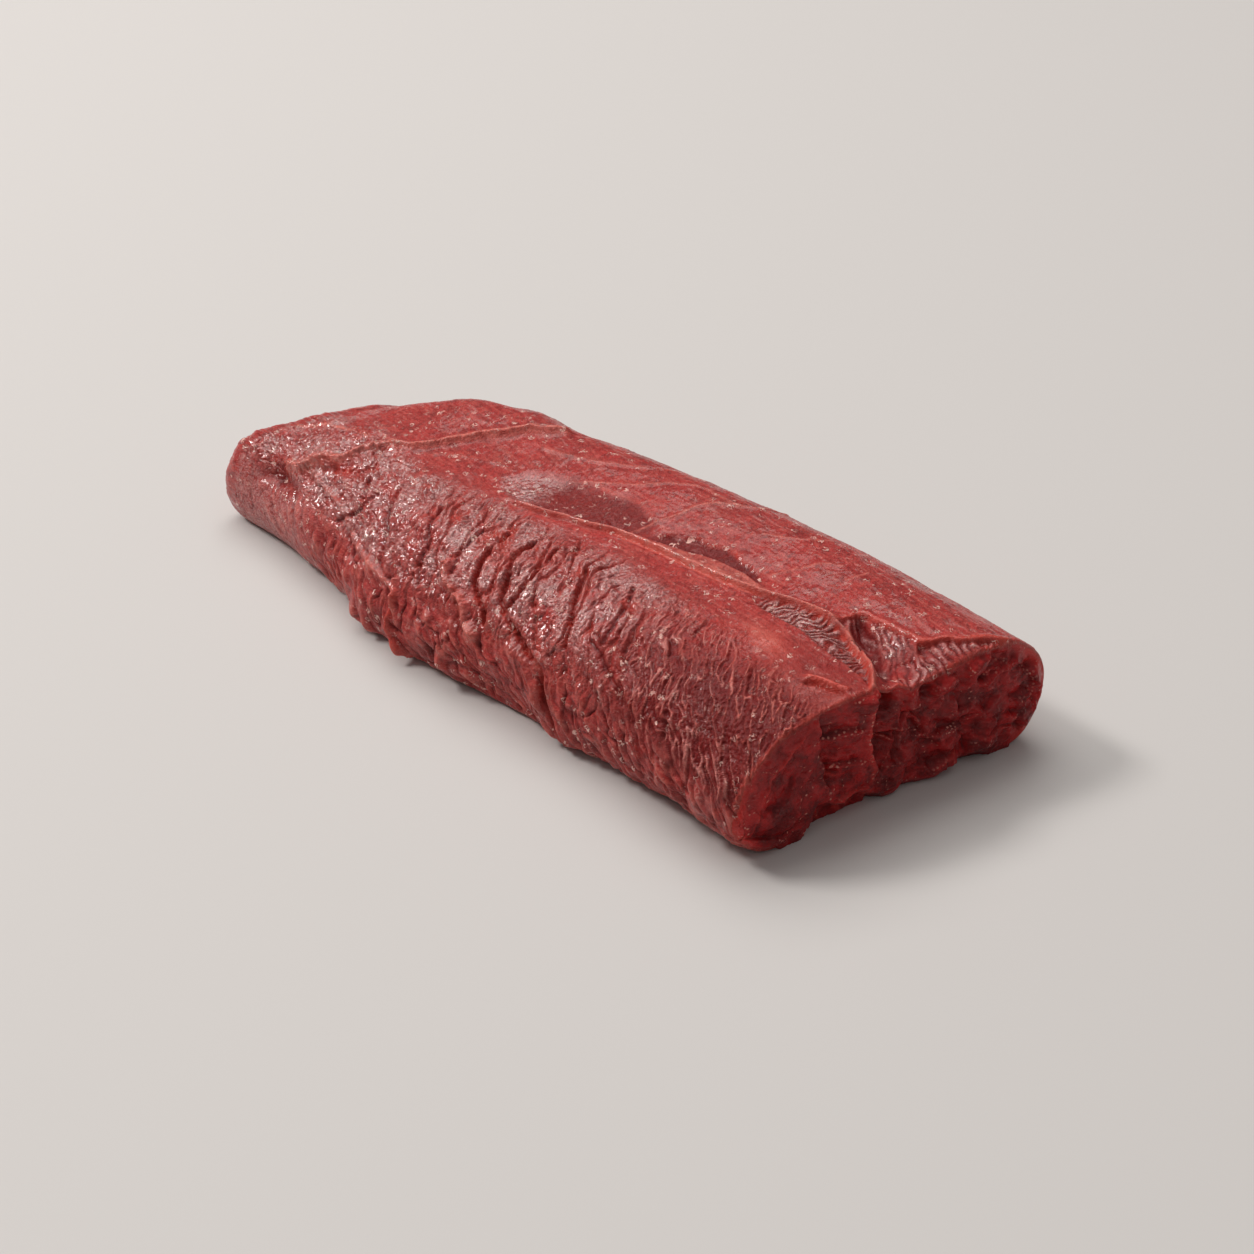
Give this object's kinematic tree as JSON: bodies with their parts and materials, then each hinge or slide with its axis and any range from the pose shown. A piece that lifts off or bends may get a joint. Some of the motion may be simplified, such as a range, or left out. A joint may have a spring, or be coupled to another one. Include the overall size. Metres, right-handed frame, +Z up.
{
  "type": "raw sirloin steak",
  "caption": "Long raw beef sirloin steak of two muscles with a seam, a rounded far end and a fresh cut face, resting on a flat underside.",
  "frame": {"origin": "on the surface that the steak rests on, under the centre of its bounding box", "axes": "+X along the steak from its rounded far end to its fresh cut face, +Y across it to the back lobe, +Z up"},
  "size_m": [0.236, 0.1022, 0.0386],
  "materials": {
    "meat": "wet raw muscle, deep red with pink membrane and pale fat specks, glossy"
  },
  "bodies": {
    "root": {"steak": "meat"}
  },
  "joints": []
}
